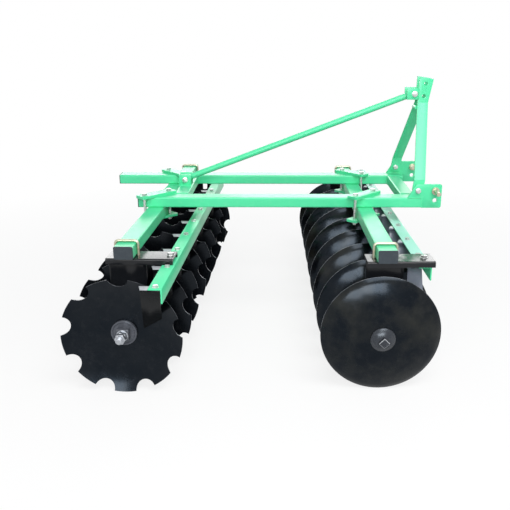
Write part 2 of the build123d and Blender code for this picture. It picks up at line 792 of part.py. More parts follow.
def make_brace_bolts():
    half = mast_gap / 2 + ear_thick
    ends = ((brace_rear_x, brace_rear_z), (brace_front_x, brace_front_z))
    return [
        bolt_y(brace_bolt_r, nut_flats, frame_offset - half, frame_offset + half, x, z)
        for x, z in ends
    ]


# --- Assembly ------------------------------------------------------------------------
nodes = {}
for gang in gangs:
    nodes.update(make_gang(gang))
    nodes.update(make_gang_frame(gang))
    for rail in rails:
        nodes[f"clamp_{gang.name}_{rail.name}"] = make_clamp(gang, rail)
    nodes[f"{gang.name}_clamp_bolts"] = [
        bolt for rail in rails for bolt in make_clamp_bolts(gang, rail)]
for rail in rails:
    nodes[f"main_beam_{rail.name}"] = [make_rail(rail)]
    nodes[f"hitch_plate_{rail.name}"] = [make_hitch_plate(rail)]
    nodes[f"hitch_pin_{rail.name}"] = [make_hitch_pin(rail)]
    nodes[f"mast_strut_{rail.name}"] = [make_strut(rail)]
nodes["main_beam_caps"] = [make_rail_cap(rail) for rail in rails]
nodes["strut_bolts"] = [make_strut_bolt(rail) for rail in rails]
nodes["rear_cross_tube"] = [make_cross(cross_rear_x)]
nodes["front_cross_tube"] = [make_cross(cross_front_x)]
nodes["brace_rear_bracket"] = make_rear_bracket()
nodes["brace_front_bracket"] = make_front_bracket()
nodes["brace"] = [make_brace()]
nodes["brace_bolts"] = make_brace_bolts()

os.makedirs("parts", exist_ok=True)
for name, shapes in nodes.items():
    solids = [solid for shape in shapes for solid in shape.solids()]
    export_step(Compound(children=solids), f"parts/{name}.step")
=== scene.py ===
import json
from math import atan2, cos, hypot, pi, radians, sin, sqrt

import bmesh
import bpy
from mathutils import Matrix, Vector


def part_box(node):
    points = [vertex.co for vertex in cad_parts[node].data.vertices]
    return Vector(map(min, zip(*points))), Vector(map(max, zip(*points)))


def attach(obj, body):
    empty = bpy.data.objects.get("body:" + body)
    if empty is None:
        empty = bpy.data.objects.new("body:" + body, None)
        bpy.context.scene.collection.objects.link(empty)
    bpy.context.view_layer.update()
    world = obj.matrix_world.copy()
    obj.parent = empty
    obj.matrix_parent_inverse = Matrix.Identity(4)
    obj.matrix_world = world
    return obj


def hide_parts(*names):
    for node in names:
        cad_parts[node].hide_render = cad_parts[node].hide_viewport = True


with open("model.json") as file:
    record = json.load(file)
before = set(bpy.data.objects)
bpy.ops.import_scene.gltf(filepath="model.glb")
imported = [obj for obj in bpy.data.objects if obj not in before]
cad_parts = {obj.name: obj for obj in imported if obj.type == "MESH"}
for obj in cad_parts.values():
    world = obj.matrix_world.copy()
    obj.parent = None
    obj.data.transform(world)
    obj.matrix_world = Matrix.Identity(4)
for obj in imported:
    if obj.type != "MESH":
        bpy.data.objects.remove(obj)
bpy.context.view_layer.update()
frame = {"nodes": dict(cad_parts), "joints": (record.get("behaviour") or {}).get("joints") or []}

# Main beams
# Two rectangular steel tubes run fore and aft and carry everything else. They are
# sprayed in a mint green enamel, and a pressed plastic cap shuts each rear end.


class Value:
    """One node socket, used in Python arithmetic."""

    def __init__(self, maker, socket):
        self.maker = maker
        self.socket = socket

    def maths(self, operation, *terms):
        return self.maker.node("ShaderNodeMath", {"operation": operation}, dict(enumerate(terms)))

    def __add__(self, other):
        return self.maths("ADD", self, other)

    def __sub__(self, other):
        return self.maths("SUBTRACT", self, other)

    def __rsub__(self, other):
        return self.maths("SUBTRACT", other, self)

    def __mul__(self, other):
        return self.maths("MULTIPLY", self, other)

    __radd__ = __add__
    __rmul__ = __mul__


class Maker:
    """Adds nodes to one tree."""

    def __init__(self, tree):
        self.tree = tree

    def node(self, kind, settings=None, inputs=None, output=0):
        made = self.tree.nodes.new(kind)
        for key, value in (settings or {}).items():
            setattr(made, key, value)
        for key, value in (inputs or {}).items():
            if isinstance(value, Value):
                self.tree.links.new(value.socket, made.inputs[key])
            else:
                made.inputs[key].default_value = value
        if not made.outputs:
            return made
        return Value(self, made.outputs[output])


class Finish(Maker):
    """A surface finish whose patterns lie in the harrow's own coordinates."""

    def __init__(self, name):
        self.material = bpy.data.materials.new(name)
        self.material.use_nodes = True
        self.material.node_tree.nodes.clear()
        super().__init__(self.material.node_tree)
        self.place = self.node("ShaderNodeTexCoord", output="Object")

    def noise(self, scale, detail, rough=0.5):
        inputs = {"Vector": self.place, "Scale": scale, "Detail": detail, "Roughness": rough}
        return self.node("ShaderNodeTexNoise", {}, inputs, "Fac")

    def ease(self, value, low, high, to_low=0.0, to_high=1.0):
        inputs = {"Value": value, "From Min": low, "From Max": high,
                  "To Min": to_low, "To Max": to_high}
        return self.node("ShaderNodeMapRange", {}, inputs)

    def mixed(self, factor, first, second):
        inputs = {0: factor, 6: first, 7: second}
        return self.node("ShaderNodeMix", {"data_type": "RGBA"}, inputs, 2)

    def bump(self, height, distance, strength):
        inputs = {"Height": height, "Distance": distance, "Strength": strength}
        return self.node("ShaderNodeBump", {}, inputs)

    def coat_with(self, **inputs):
        sockets = {key.replace("_", " "): value for key, value in inputs.items()}
        shader = self.node("ShaderNodeBsdfPrincipled", {}, sockets)
        self.node("ShaderNodeOutputMaterial", {}, {"Surface": shader})
        return self.material


enamel = Finish("green_enamel")
cloud = enamel.noise(2.6, 2.0)
dust = enamel.ease(enamel.noise(31.0, 6.0, 0.65), 0.52, 0.78)
peel = enamel.noise(520.0, 1.0)
tint = enamel.mixed(cloud, (0.059, 0.620, 0.292, 1), (0.083, 0.695, 0.355, 1))
green_paint = enamel.coat_with(
    Base_Color=enamel.mixed(dust * 0.22, tint, (0.23, 0.70, 0.44, 1)),
    Roughness=0.30 + 0.08 * cloud + 0.16 * dust,
    Normal=enamel.bump(peel, 0.00025, 0.5),
)


def dress(names, finish):
    """Gives CAD pieces their finish."""
    for name in names:
        piece = frame["nodes"][name]
        piece.data.materials.clear()
        piece.data.materials.append(finish)


dress(["main_beam_right", "main_beam_left"], green_paint)

moulded = Finish("cap_plastic")
grain = moulded.noise(900.0, 3.0, 0.7)
scuff = moulded.ease(moulded.noise(60.0, 5.0, 0.7), 0.5, 0.75)
black_plastic = moulded.coat_with(
    Base_Color=moulded.mixed(scuff * 0.5, (0.017, 0.026, 0.035, 1), (0.045, 0.056, 0.066, 1)),
    Roughness=0.46 + 0.2 * scuff,
    Normal=moulded.bump(grain, 0.0002, 0.6),
)


def put(name, data):
    """Adds an object to the scene."""
    made = bpy.data.objects.new(name, data)
    bpy.context.scene.collection.objects.link(made)
    return made


def piece_of(name, mesh, crease, body):
    """A piece that rides on a body, smooth but for edges sharper than its crease angle."""
    mesh.polygons.foreach_set("use_smooth", [True] * len(mesh.polygons))
    mesh.set_sharp_from_angle(angle=crease)
    piece = put(name, mesh)
    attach(piece, body)
    return piece


def new_piece(name, corners, faces, finish, body="frame", matrix=None):
    """A piece from its corners and faces, stood in place by a matrix where one is given."""
    if matrix:
        corners = [tuple(matrix @ Vector(corner)) for corner in corners]
        if matrix.determinant() < 0:
            faces = [face[::-1] for face in faces]
    mesh = bpy.data.meshes.new(name)
    mesh.from_pydata(corners, [], faces)
    mesh.materials.append(finish)
    return piece_of(name, mesh, radians(26), body)


def joined(node):
    """An editable copy of a CAD piece, its doubled corners joined."""
    shape = bmesh.new()
    shape.from_mesh(frame["nodes"][node].data)
    bmesh.ops.remove_doubles(shape, verts=shape.verts, dist=0.00002)
    return shape


def soften(node, round_off, finish, least=None):
    """Stands a copy in for a CAD piece on the frame, its edges longer than least eased."""
    flat_turn = radians(0.4)
    sharp_turn = radians(35)
    least = least or 4 * round_off
    shape = joined(node)
    bmesh.ops.dissolve_limit(
        shape, angle_limit=flat_turn, verts=shape.verts, edges=shape.edges)
    sharp = [
        edge for edge in shape.edges
        if len(edge.link_faces) == 2
        and edge.calc_length() > least
        and edge.calc_face_angle(0) > sharp_turn
    ]
    bmesh.ops.bevel(
        shape, geom=sharp, offset=round_off, offset_type="OFFSET", segments=2,
        profile=0.5, affect="EDGES", clamp_overlap=True)
    shape.verts.index_update()
    corners = [tuple(vert.co) for vert in shape.verts]
    faces = [[vert.index for vert in face.verts] for face in shape.faces]
    shape.free()
    piece = new_piece(f"{node}_shown", corners, faces, finish)
    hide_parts(node)


cap_edge = 0.0012
soften("main_beam_caps", cap_edge, black_plastic, least=cap_edge)

# Cross tubes
# Two lighter tubes join the main beams and are welded to them all round. The weld
# is a rippled bead under the same enamel.


def weld(name, runs, radius, finish=green_paint):
    """A painted weld bead along each run of points on the frame."""
    ripple = radius * 1.1
    line = bpy.data.curves.new(name, "CURVE")
    line.dimensions = "3D"
    for run in runs:
        spline = line.splines.new("POLY")
        spline.points.add(len(run) - 1)
        for point, place in zip(spline.points, run):
            point.co = (*place, 1)
    source = put(f"{name}_line", line)
    grow(name, source, weld_bead, {"Radius": radius, "Ripple": ripple}, finish, "frame")


def recipe(name, sizes):
    """An empty Geometry Nodes tree with named inputs."""
    tree = bpy.data.node_groups.new(name, "GeometryNodeTree")
    tree.interface.new_socket("Source", in_out="INPUT", socket_type="NodeSocketGeometry")
    tree.interface.new_socket("Result", in_out="OUTPUT", socket_type="NodeSocketGeometry")
    for label, kind in sizes.items():
        tree.interface.new_socket(label, in_out="INPUT", socket_type=kind)
    tree.interface.new_socket("Finish", in_out="INPUT", socket_type="NodeSocketMaterial")
    maker = Maker(tree)
    inlet = tree.nodes.new("NodeGroupInput")
    return maker, {socket.name: Value(maker, socket) for socket in inlet.outputs if socket.name}


def serve(maker, geometry, finish):
    """Ends a recipe: real meshes in one finish."""
    real = maker.node("GeometryNodeRealizeInstances", {}, {0: geometry})
    ended = maker.node("GeometryNodeSetMaterial", {}, {"Geometry": real, "Material": finish})
    maker.node("NodeGroupOutput", {}, {0: ended})
    return maker.tree


def grow(name, source, tree, sizes, finish, body):
    """Runs a recipe on a source object and keeps the plain mesh."""
    steps = source.modifiers.new(name, "NODES")
    steps.node_group = tree
    labels = {item.name: item.identifier for item in tree.interface.items_tree
              if item.in_out == "INPUT"}
    for label, value in {**sizes, "Finish": finish}.items():
        steps[labels[label]] = value
    source.update_tag()
    bpy.context.view_layer.update()
    ready = source.evaluated_get(bpy.context.evaluated_depsgraph_get())
    mesh = bpy.data.meshes.new_from_object(ready)
    bpy.data.objects.remove(source)
    mesh.name = name
    return piece_of(name, mesh, radians(32), body)


# shares of a ripple's length and of the bead's radius
step_share = 0.2
ripple_share = 0.26
lump_share = 0.4
sunk_share = 0.3
maker, size = recipe("weld_bead", {"Radius": "NodeSocketFloat", "Ripple": "NodeSocketFloat"})
line = maker.node(
    "GeometryNodeResampleCurve", {"mode": "LENGTH"},
    {"Curve": size["Source"], "Length": step_share * size["Ripple"]})
length = maker.node("GeometryNodeSplineParameter", output="Length")
kept = maker.tree.nodes.new("GeometryNodeCaptureAttribute")
kept.domain = "POINT"
kept.capture_items.new("FLOAT", "Length")
maker.tree.links.new(line.socket, kept.inputs[0])
maker.tree.links.new(length.socket, kept.inputs[1])
ring = maker.node(
    "GeometryNodeCurvePrimitiveCircle", {}, {"Resolution": 10, "Radius": size["Radius"]})
bead = maker.node(
    "GeometryNodeCurveToMesh", {},
    {"Curve": Value(maker, kept.outputs[0]), "Profile Curve": ring, "Fill Caps": True})
run = Value(maker, kept.outputs[1])
phase = run.maths("DIVIDE", run, size["Ripple"])
wave = phase.maths("FRACT", phase)
uneven = maker.node("ShaderNodeTexNoise", {}, {"Scale": 90.0, "Detail": 1.0}, "Fac")
height = size["Radius"] * (ripple_share * wave + lump_share * uneven - sunk_share)
normal = maker.node("GeometryNodeInputNormal")
push = maker.node("ShaderNodeVectorMath", {"operation": "SCALE"}, {0: normal, "Scale": height})
bead = maker.node("GeometryNodeSetPosition", {}, {"Geometry": bead, "Offset": push})
weld_bead = serve(maker, bead, size["Finish"])

dress(["rear_cross_tube", "front_cross_tube"], green_paint)


def round_end(low, high, y, inset=0.0055):
    """The line round the end of a cross tube, clear of its corner radii."""
    x0, x1, z0, z1 = low.x, high.x, low.z, high.z
    return [
        (x0 + inset, y, z0), (x1 - inset, y, z0), (x1, y, z0 + inset), (x1, y, z1 - inset),
        (x1 - inset, y, z1), (x0 + inset, y, z1), (x0, y, z1 - inset), (x0, y, z0 + inset),
        (x0 + inset, y, z0),
    ]


cross_seam = 0.001
cross_bead_r = 0.0035
for end in ("rear", "front"):
    low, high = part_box(f"{end}_cross_tube")
    weld(f"{end}_cross_weld", [
        round_end(low, high, low.y + cross_seam), round_end(low, high, high.y - cross_seam),
    ], cross_bead_r)

# Hitch plates
# A thick plate stands on the outer edge of each main beam and wraps its front end,
# welded along the beam's top and down its end. It carries the lower link's pin.
plate_edge = 0.0014
plate_bead_r = 0.004
plate_seam_r = 0.0022
bead_gap = 0.004
front_gap = 0.002
foot_gap = 0.003
for side in ("right", "left"):
    soften(f"hitch_plate_{side}", plate_edge, green_paint)
    low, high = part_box(f"hitch_plate_{side}")
    beam_low, beam_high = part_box(f"main_beam_{side}")
    outer = low.y if side == "right" else high.y
    inner = high.y if side == "right" else low.y
    top = beam_high.z
    front = beam_high.x
    weld(f"hitch_weld_{side}", [
        [(low.x + bead_gap, inner, top), (front - front_gap, inner, top)],
        [(front, inner, top - bead_gap), (front, inner, beam_low.z + bead_gap)],
    ], plate_bead_r)
    weld(f"hitch_seam_{side}", [[
        (low.x + bead_gap, outer, top), (front, outer, top),
        (front, outer, beam_low.z + foot_gap),
    ]], plate_seam_r)

# Lower-link pins
# Each pin is turned from one bar and plated in yellow zinc: a collar stands against
# the plate's outer face, and a hex nut holds it from inside. Its end is chamfered.


def hexagon_r(flats, turn):
    """Radius at an angle of a hexagon, from its width over flats."""
    half = pi / 6
    return flats / 2 / cos((turn + half) % (2 * half) - half)


def stacked(rows, columns):
    """Faces of a solid of stacked rings, shut at both ends."""
    faces = [list(range(columns))[::-1]]
    for row in range(rows - 1):
        a, b = row * columns, (row + 1) * columns
        for column in range(columns):
            after = (column + 1) % columns
            faces.append([a + column, a + after, b + after, b + column])
    last = (rows - 1) * columns
    faces.append([last + column for column in range(columns)])
    return faces


def hex_piece(flats, height, washer_r, washer_h, rod_r=0.0, rod_out=0.0, pitch=0.002):
    """A chamfered hexagon on its washer, with the threaded rod's end through it."""
    columns = 48
    crown_r = flats * 0.475
    crown_slope = 0.45
    root_r = rod_r * 0.9
    tip_r = rod_r * 0.86
    tip_h = 0.001
    top = washer_h + height
    end = top + rod_out
    # each ring is (kind, radius or width over flats, height)
    rings = [("round", washer_r, 0), ("round", washer_r, washer_h * 0.8),
             ("round", washer_r * 0.96, washer_h), ("hex", flats, washer_h),
             ("crown", flats, top), ("round", crown_r, top)]
    if rod_out:
        at = top
        rings.append(("round", rod_r, at))
        while at + pitch < end - tip_h:
            rings += [("round", rod_r, at + 0.3 * pitch), ("round", root_r, at + 0.5 * pitch),
                      ("round", root_r, at + 0.7 * pitch), ("round", rod_r, at + pitch)]
            at += pitch
        rings += [("round", rod_r, end - tip_h), ("round", tip_r, end)]
    corners = []
    for kind, width, level in rings:
        for column in range(columns):
            turn = column * 2 * pi / columns
            reach = width if kind == "round" else hexagon_r(width, turn)
            rise = level - (reach - crown_r) * crown_slope if kind == "crown" else level
            corners.append((reach * cos(turn), reach * sin(turn), rise))
    mesh = bpy.data.meshes.new("hex_stock")
    mesh.from_pydata(corners, [], stacked(len(rings), columns))
    return put("hex_stock", mesh)


maker, size = recipe("fasteners", {"Stock": "NodeSocketObject"})
stock_info = maker.node(
    "GeometryNodeObjectInfo", {"transform_space": "ORIGINAL"}, {"Object": size["Stock"]},
    "Geometry")
turn = maker.node(
    "GeometryNodeInputNamedAttribute", {"data_type": "FLOAT_VECTOR"}, {"Name": "turn"})
turn = maker.node("FunctionNodeEulerToRotation", {}, {0: turn})
placed = maker.node(
    "GeometryNodeInstanceOnPoints", {},
    {"Points": size["Source"], "Instance": stock_info, "Rotation": turn})
fasteners = serve(maker, placed, size["Finish"])


def set_at(name, stock, places, finish, body="frame", matrix=None):
    """Sets one stock shape at each (point, turn), in a frame of its own where one is given."""
    mesh = bpy.data.meshes.new(f"{name}_points")
    mesh.from_pydata([tuple(point) for point, _ in places], [], [])
    turns = mesh.attributes.new("turn", "FLOAT_VECTOR", "POINT")
    for index, (_, turn) in enumerate(places):
        turns.data[index].vector = turn
    source = put(f"{name}_points", mesh)
    piece = grow(name, source, fasteners, {"Stock": stock}, finish, body)
    bpy.data.objects.remove(stock)
    if matrix:
        piece.data.transform(matrix)
        if matrix.determinant() < 0:
            piece.data.flip_normals()
    return piece


def fasten(name, stock, places, finish):
    """Sets one stock shape on the frame at each (point, direction, twist)."""
    turned = []
    for point, direction, twist in places:
        facing = Vector(direction).to_track_quat("Z", "Y").to_matrix()
        turned.append((point, (facing @ Matrix.Rotation(twist, 3, "Z")).to_euler()))
    return set_at(name, stock, turned, finish)


def lathe(name, profile, matrix, finish, body="frame", steps=48):
    """A piece turned about a matrix's Z axis from (radius, height) points."""
    corners, rings = [], []
    for radius, height in profile:
        count = steps if radius > 0 else 1
        rings.append(range(len(corners), len(corners) + count))
        for step in range(count):
            turn = step * 2 * pi / steps
            corners.append((radius * cos(turn), radius * sin(turn), height))
    faces = []
    for first, second in zip(rings, rings[1:]):
        for step in range(steps):
            after = (step + 1) % steps
            loop = [first[step % len(first)], first[after % len(first)],
                    second[after % len(second)], second[step % len(second)]]
            faces.append(list(dict.fromkeys(loop)))
    return new_piece(name, corners, faces, finish, body, matrix)


zinc = Finish("yellow_zinc")
hue = zinc.ease(zinc.noise(70.0, 3.0, 0.6), 0.35, 0.7)
blush = zinc.ease(zinc.noise(38.0, 2.0, 0.5), 0.55, 0.7)
tone = zinc.mixed(hue, (0.45, 0.44, 0.33, 1), (0.53, 0.54, 0.42, 1))
yellow_zinc = zinc.coat_with(
    Base_Color=zinc.mixed(blush * 0.5, tone, (0.66, 0.40, 0.30, 1)),
    Metallic=0.85,
    Roughness=0.30 + 0.14 * hue,
    Normal=zinc.bump(zinc.noise(700.0, 2.0), 0.0001, 0.5),
)

pin_r = 0.011
pin_root = 0.012
pin_chamfer = 0.002
collar_r = 0.019
collar_thick = 0.010
collar_edge = 0.001
# the groove for the linch clip, from the pin's tip
groove_far = 0.014
groove_near = 0.0085
groove_depth = 0.0015
for side, out in (("right", -1), ("left", 1)):
    low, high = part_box(f"hitch_pin_{side}")
    plate_low, plate_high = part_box(f"hitch_plate_{side}")
    face = plate_low.y if out < 0 else plate_high.y
    inner = plate_high.y if out < 0 else plate_low.y
    tip = low.y if out < 0 else high.y
    x = (low.x + high.x) / 2
    z = (low.z + high.z) / 2
    stand = Matrix.Translation((x, face, z)) @ Matrix.Rotation(-out * pi / 2, 4, "X")
    reach = abs(tip - face)
    pin_line = [
        (0, -pin_root), (pin_r, -pin_root), (pin_r, 0), (collar_r - collar_edge, 0),
        (collar_r, collar_edge), (collar_r, collar_thick - collar_edge),
        (collar_r - collar_edge, collar_thick), (pin_r, collar_thick), (pin_r, 3 * collar_thick),
        (pin_r, reach - groove_far), (pin_r - groove_depth, reach - groove_far + groove_depth),
        (pin_r - groove_depth, reach - groove_near - groove_depth),
        (pin_r, reach - groove_near), (pin_r, reach - pin_chamfer),
        (pin_r - pin_chamfer, reach), (0, reach),
    ]
    pin = lathe(f"link_pin_{side}", pin_line, stand, yellow_zinc)
    pin_nut = hex_piece(
        flats=0.032, height=0.016, washer_r=0.0185, washer_h=0.0025, rod_r=pin_r, rod_out=0.004)
    fasten(f"link_pin_nut_{side}", pin_nut, [((x, inner, z), (0, -out, 0), 0.3)],
           yellow_zinc)
    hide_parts(f"hitch_pin_{side}")

# Mast
# Two flat bars are bolted inside the hitch plates, lean in towards each other and end
# as two upright plates with holes for the top link. Bent from bar, edges slightly eased.
bar_edge = 0.0016
for side in ("right", "left"):
    soften(f"mast_strut_{side}", bar_edge, green_paint)

bracket_low, bracket_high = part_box("brace_front_bracket")
tie_r = 0.009
tie_edge = 0.001
tie_behind = 0.008
tie_below = 0.039
# the struts lean, so the bar's ends lie inside their boxes
tie_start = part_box("mast_strut_right")[1].y - 0.013
tie_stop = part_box("mast_strut_left")[0].y + 0.006
tie_x = bracket_high.x - tie_behind
tie_z = bracket_low.z - tie_below
tie_turn = Matrix.Translation((tie_x, 0, tie_z)) @ Matrix.Rotation(-pi / 2, 4, "X")
tie_line = [
    (0.0, tie_start), (tie_r - tie_edge, tie_start), (tie_r, tie_start + tie_edge),
    (tie_r, tie_stop - tie_edge), (tie_r - tie_edge, tie_stop), (0.0, tie_stop),
]
lathe("mast_tie", tie_line, tie_turn, green_paint, steps=32)

steel = Finish("bright_zinc")
frost = steel.ease(steel.noise(85.0, 4.0, 0.6), 0.35, 0.7)
bright_zinc = steel.coat_with(
    Base_Color=steel.mixed(frost, (0.52, 0.53, 0.53, 1), (0.68, 0.69, 0.68, 1)),
    Metallic=0.88,
    Roughness=0.26 + 0.18 * frost,
    Normal=steel.bump(steel.noise(800.0, 2.0), 0.0001, 0.5),
)
dull = Finish("dull_zinc")
stain = dull.ease(dull.noise(110.0, 4.0, 0.6), 0.3, 0.7)
dull_zinc = dull.coat_with(
    Base_Color=dull.mixed(stain, (0.28, 0.30, 0.335, 1), (0.52, 0.54, 0.57, 1)),
    Metallic=0.9,
    Roughness=0.30 + 0.16 * stain,
    Normal=dull.bump(dull.noise(700.0, 2.0), 0.0001, 0.5),
)


def solids_along(node, axis):
    """Lowest and highest corners of each solid in a CAD piece, in order along an axis."""
    shape = joined(node)
    waiting = set(shape.verts)
    boxes = []
    while waiting:
        group, edge = set(), [waiting.pop()]
        while edge:
            vert = edge.pop()
            group.add(vert)
            for link in vert.link_edges:
                other = link.other_vert(vert)
                if other in waiting:
                    waiting.remove(other)
                    edge.append(other)
        boxes.append(tuple(
            Vector([pick(vert.co[way] for vert in group) for way in range(3)])
            for pick in (min, max)))
    shape.free()
    return sorted(boxes, key=lambda box: box[0][axis])


def bolt_up(name, heads, nuts, washer_r, rod_r, rod_out=0.005, nut_h=0.012, flats=0.024,
            head_h=0.009, washer_h=0.001):
    """Bright hexagon heads and nuts, each on a washer; the heads come back."""
    head = hex_piece(flats, head_h, washer_r, washer_h)
    made = fasten(f"{name}_heads", head, heads, bright_zinc)
    nut = hex_piece(flats, nut_h, washer_r, washer_h, rod_r, rod_out)
    fasten(f"{name}_nuts", nut, nuts, bright_zinc)
    return made


strut_thick = 0.012
heads, nuts = [], []
for side, out, (low, high) in zip(("right", "left"), (-1, 1), solids_along("strut_bolts", 1)):
    x = (low.x + high.x) / 2
    z = (low.z + high.z) / 2
    plate_low, plate_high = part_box(f"hitch_plate_{side}")
    outer = plate_low.y if out < 0 else plate_high.y
    inner = (plate_high.y if out < 0 else plate_low.y) - out * strut_thick
    heads.append(((x, outer, z), (0, out, 0), 0.2))
    nuts.append(((x, inner, z), (0, -out, 0), 0.45))
bolt_heads = bolt_up("strut_bolt", heads, nuts, washer_r=0.0135, rod_r=0.007)
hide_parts("strut_bolts")

# Brace
# A round tube runs from the rear cross tube up to the mast. A cross sleeve is welded
# to each end and pinned by a bolt between two ears.
soften("brace_rear_bracket", plate_edge, green_paint)
soften("brace_front_bracket", plate_edge, green_paint)
dress(["brace"], green_paint)
rear_low, rear_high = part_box("brace_rear_bracket")
front_low, front_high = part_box("brace_front_bracket")
bolt_low, bolt_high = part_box("brace_bolts")
# half the bolts' width over their corners and over their flats
corner_half = 0.0139
flat_half = 0.012
brace_ends = [
    (bolt_low.x + corner_half, bolt_low.z + flat_half),
    (bolt_high.x - corner_half, bolt_high.z - flat_half),
]
heads = [((x, rear_low.y, z), (0, -1, 0), 0.35) for x, z in brace_ends]
nuts = [((x, rear_high.y, z), (0, 1, 0), 0.1) for x, z in brace_ends]
brace_heads = bolt_up("brace_bolt", heads, nuts, washer_r=0.015, rod_r=0.008)
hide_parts("brace_bolts")
ear_thick = 0.012
ear_bead_r = 0.0032
weld("bracket_weld", [
    [(rear_low.x, y, rear_low.z), (rear_high.x, y, rear_low.z)]
    for y in (rear_low.y, rear_low.y + ear_thick, rear_high.y - ear_thick, rear_high.y)
], ear_bead_r)

mast_bead_r = 0.003
mast_bead_gap = 0.002
weld("mast_bracket_weld", [
    [(front_high.x, y, front_low.z + mast_bead_gap),
     (front_high.x, y, front_high.z - mast_bead_gap)]
    for y in (front_low.y, front_high.y)
], mast_bead_r)

# Gang beams
# A square-cut tube carries each gang of discs from above. Both its ends are shut by
# dark plastic caps with a thin flange.
for gang in ("front", "rear"):
    dress([f"{gang}_gang_beam"], green_paint)
    soften(f"{gang}_gang_beam_caps", cap_edge, black_plastic, least=cap_edge)

# Clamps
# Four diagonal pairs of plates grip the gang beams against the main beams. Two long
# bolts draw each pair together.
for gang in ("front", "rear"):
    for side in ("right", "left"):
        soften(f"clamp_{gang}_{side}", bar_edge, green_paint)

clamp_rod_r = 0.007
for gang in ("front", "rear"):
    heads, nuts = [], []
    clamps = [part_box(f"clamp_{gang}_{side}") for side in ("right", "left")]
    for index, (low, high) in enumerate(solids_along(f"{gang}_clamp_bolts", 0)):
        x = (low.x + high.x) / 2
        y = (low.y + high.y) / 2
        nearest = min(clamps, key=lambda box: abs((box[0].y + box[1].y) / 2 - y))
        top = nearest[1].z
        bottom = nearest[0].z
        heads.append(((x, y, top), (0, 0, 1), 0.3 + index))
        nuts.append(((x, y, bottom), (0, 0, -1), 0.8 + index))
        rod_line = [(0, bottom), (clamp_rod_r, bottom), (clamp_rod_r, top), (0, top)]
        lathe(f"{gang}_clamp_rod_{index}", rod_line, Matrix.Translation((x, y, 0)),
              bright_zinc, steps=24)
    clamp_heads = bolt_up(
        f"{gang}_clamp", heads, nuts, washer_r=0.0145, rod_r=clamp_rod_r, rod_out=0.008,
        nut_h=0.010)
    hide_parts(f"{gang}_clamp_bolts")

# U-bolts
# A plated U-bolt goes over the gang beam at each hanger, and its nuts sit under the
# arm.
for gang in ("front", "rear"):
    dress([f"{gang}_u_bolts"], yellow_zinc)

# Hangers
# A channel arm, a tapered web and a bearing housing are welded into one hanger and
# painted black. The arm reaches ahead to hold the scraper bar.
gloss = Finish("black_enamel")
mottle = gloss.noise(7.0, 4.0, 0.6)
speck = gloss.ease(gloss.noise(140.0, 4.0, 0.7), 0.62, 0.8)
black_enamel = gloss.coat_with(
    Base_Color=gloss.mixed(speck * 0.35, (0.008, 0.009, 0.011, 1), (0.05, 0.05, 0.055, 1)),
    Roughness=0.12 + 0.14 * mottle + 0.2 * speck,
    Specular_IOR_Level=0.3,
    Normal=gloss.bump(gloss.noise(480.0, 1.0), 0.00025, 0.5),
)
joints = {joint["name"]: joint for joint in frame["joints"]}


def gang_frame(gang):
    """Matrix of a gang: X ahead, Y from the open end to the domed end, Z up."""
    joint = joints[f"{gang}_gang_spin"]
    axis = Vector(joint["axis"])
    nut_low, nut_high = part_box(f"{gang}_axle_nuts")
    dome_low, dome_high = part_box(f"{gang}_end_dome")
    if (dome_low + dome_high - nut_low - nut_high).dot(axis) < 0:
        axis = -axis
    ahead = Vector((abs(axis.y), -axis.x if axis.y > 0 else axis.x, 0))
    columns = Matrix((ahead, axis, (0, 0, 1))).transposed().to_4x4()
    origin = Vector(joint["pos_m"])
    return Matrix.Translation((origin.x, origin.y, 0)) @ columns


def along(gang, node):
    """Lowest and highest corners of a CAD piece in its gang's frame."""
    inside = gang_frame(gang).inverted()
    points = [inside @ vert.co for vert in frame["nodes"][node].data.vertices]
    return (Vector([min(point[axis] for point in points) for axis in range(3)]),
            Vector([max(point[axis] for point in points) for axis in range(3)]))


axle_z = joints["front_gang_spin"]["pos_m"][2]
housing_r = 0.060
housing_bead_r = 0.0035
web_half = 0.008
seam_turns = [radians(turn) for turn in range(8, 173, 6)]
hanger_y, hanger_top = {}, {}
for gang in ("front", "rear"):
    for end in ("open", "domed"):
        soften(f"{gang}_hanger_{end}", plate_edge, black_enamel)
        low, high = along(gang, f"{gang}_hanger_{end}")
        middle = (low.y + high.y) / 2
        hanger_y[gang, end] = middle
        hanger_top[gang, end] = high.z
        seams = [
            [gang_frame(gang) @ Vector((
                housing_r * cos(turn), face, axle_z + housing_r * sin(turn)))
             for turn in seam_turns]
            for face in (middle - web_half, middle + web_half)
        ]
        weld(f"{gang}_housing_weld_{end}", seams, housing_bead_r, black_enamel)

# Scraper bars and scrapers
# An angle bar is bolted under the arms, the front one painted paler on top as painted light. A
# folded plate is bolted to it for each disc and scrapes the hollow side.
scraper_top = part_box("rear_scrapers")[1].z


def level_at(finish, top):
    """Mask of the level surface at a height."""
    fade_from = 0.0006
    fade_to = 0.0002
    height = finish.node("ShaderNodeSeparateXYZ", {}, {0: finish.place}, "Z")
    return finish.ease(height, top - fade_from, top - fade_to)


def scraper_finish(name, deep, paler, gloss):
    """Thin dark paint over steel, with a painted reflection in pale grey on the bolted tab's
    level top.
    """
    thin = Finish(name)
    drag = thin.ease(thin.noise(55.0, 5.0, 0.7), 0.45, 0.75)
    # The tab's level top is painted pale grey as a painted reflection of the bright surroundings.
    bare_and_sheen = level_at(thin, scraper_top) * thin.ease(drag, 0.0, 0.9, 1.0, 0.75)
    return thin.coat_with(
        Base_Color=thin.mixed(bare_and_sheen, thin.mixed(drag * 0.5, deep, paler), (0.42, 0.44, 0.47, 1)),
        Roughness=0.20 + 0.08 * drag + 0.15 * bare_and_sheen,
        Specular_IOR_Level=gloss,
        Normal=thin.bump(thin.noise(500.0, 2.0), 0.0002, 0.5),
    )
